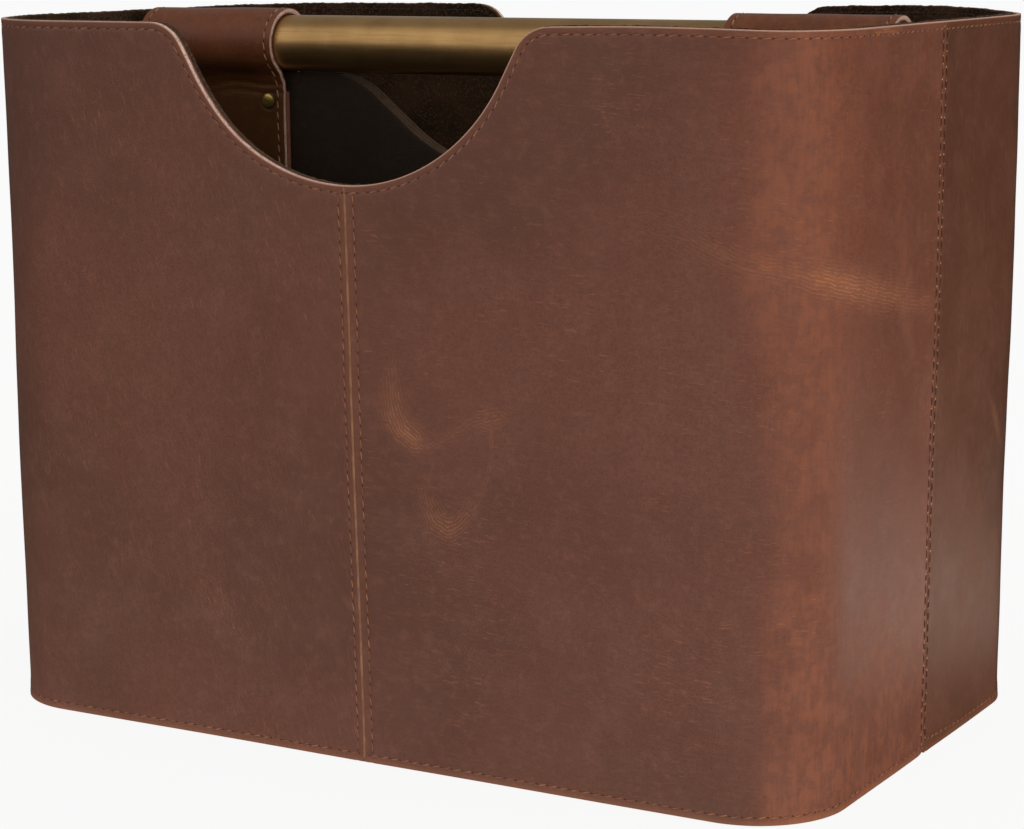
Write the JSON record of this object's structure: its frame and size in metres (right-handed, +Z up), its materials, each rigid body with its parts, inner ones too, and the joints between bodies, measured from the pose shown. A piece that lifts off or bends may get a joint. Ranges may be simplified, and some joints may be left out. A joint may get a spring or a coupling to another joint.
{
  "type": "magazine basket",
  "caption": "Oblong leather magazine basket with rounded corners, hand cut-outs, a divider and a round brass handle held in leather straps.",
  "frame": {"origin": "centre of the footprint, on the surface that the basket stands on", "axes": "+X along the basket and its handle, +Y to the back, +Z up"},
  "size_m": [0.398, 0.265, 0.3016],
  "materials": {
    "outer_leather": "oiled pull-up leather, reddish brown, light scuffs",
    "strap_leather": "oiled leather, creased at the bends",
    "divider_leather": "smooth dark leather",
    "base_leather": "plain leather, matte",
    "suede_lining": "dark brown suede with a short nap",
    "fibreboard": "pressed fibreboard",
    "brushed_brass": "antique brass, brushed along the tube",
    "rivet_brass": "aged brass, domed",
    "waxed_thread": "waxed linen thread, reddish tan"
  },
  "bodies": {
    "basket": {"outer_panel_front_right": "outer_leather", "outer_panel_front_left": "outer_leather", "outer_panel_back_right": "outer_leather", "outer_panel_back_left": "outer_leather", "seam_strip_front": "base_leather", "seam_strip_back": "base_leather", "seam_strip_right": "base_leather", "seam_strip_left": "base_leather", "lining_front": "suede_lining", "lining_back": "suede_lining", "base_tray": "base_leather", "base_board": "fibreboard", "base_lining": "suede_lining", "divider_face_front": "divider_leather", "divider_face_back": "divider_leather", "divider_board": "fibreboard", "strap_left": "strap_leather", "strap_right": "strap_leather", "strap_pad_left": "strap_leather", "strap_pad_right": "strap_leather", "rivet_cap_left_inner": "rivet_brass", "rivet_cap_left_outer": "rivet_brass", "rivet_cap_right_inner": "rivet_brass", "rivet_cap_right_outer": "rivet_brass", "rivet_back_left_inner": "rivet_brass", "rivet_back_left_outer": "rivet_brass", "rivet_back_right_inner": "rivet_brass", "rivet_back_right_outer": "rivet_brass"},
    "handle": {"handle_bar": "brushed_brass", "bar_plug_left": "brushed_brass", "bar_plug_right": "brushed_brass"}
  },
  "joints": [
    {"name": "handle_turn", "type": "hinge", "parent": "basket", "child": "handle", "pos_m": [0, -0.00415, 0.2862], "axis": [1, 0, 0], "continuous": true}
  ]
}
